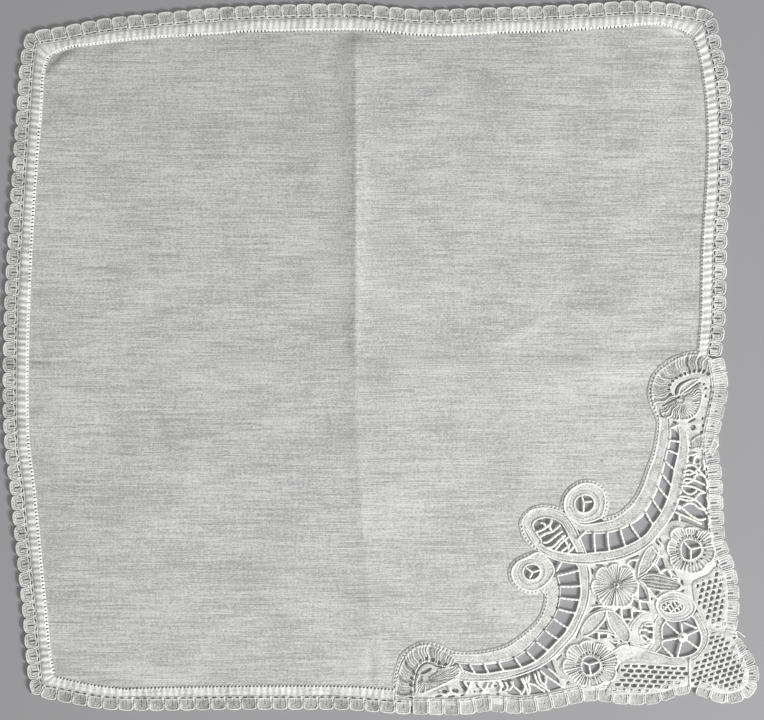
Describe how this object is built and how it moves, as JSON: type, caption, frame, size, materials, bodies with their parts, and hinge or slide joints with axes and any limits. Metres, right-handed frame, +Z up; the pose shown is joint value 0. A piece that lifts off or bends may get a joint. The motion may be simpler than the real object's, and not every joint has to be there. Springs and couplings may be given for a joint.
{
  "type": "lace handkerchief",
  "caption": "Square fine linen handkerchief lying flat, with a narrow hem, a scalloped bobbin lace edging and a large corner of tape lace with scrolls, flowers and leaves.",
  "frame": {"origin": "centre of the outline, on the underside that rests on the surface", "axes": "+Z up out of the upper face, +X towards the side with the lower lace corner, -Y towards the lace corner"},
  "size_m": [0.2874, 0.2716, 0.0022],
  "materials": {
    "linen": "fine plain-woven linen, matt",
    "edging_lace": "white cotton thread lace, matt",
    "lace_tape": "closely worked white thread, matt",
    "lace_ground": "open net and bars of white thread, matt"
  },
  "bodies": {
    "root": {"bar_ground": "lace_ground", "border_corner": "lace_tape", "border_low": "lace_tape", "border_right": "lace_tape", "edging_braid": "edging_lace", "eye_ring": "lace_tape", "filling_low": "lace_ground", "filling_right": "lace_ground", "flower_low": "lace_tape", "flower_middle": "lace_tape", "flower_side": "lace_tape", "leaf_down": "lace_tape", "leaf_in": "lace_tape", "leaf_out": "lace_tape", "leaf_up": "lace_tape", "linen_ground": "linen", "net_corner": "lace_ground", "net_low": "lace_ground", "net_right": "lace_ground", "rosette_lower": "lace_tape", "rosette_upper": "lace_tape", "scroll_lower": "lace_tape", "scroll_upper": "lace_tape", "shell_leaf": "lace_tape", "small_scroll": "lace_tape", "spiral_lower": "lace_tape", "spiral_upper": "lace_tape", "web_ring": "lace_tape"}
  },
  "joints": []
}
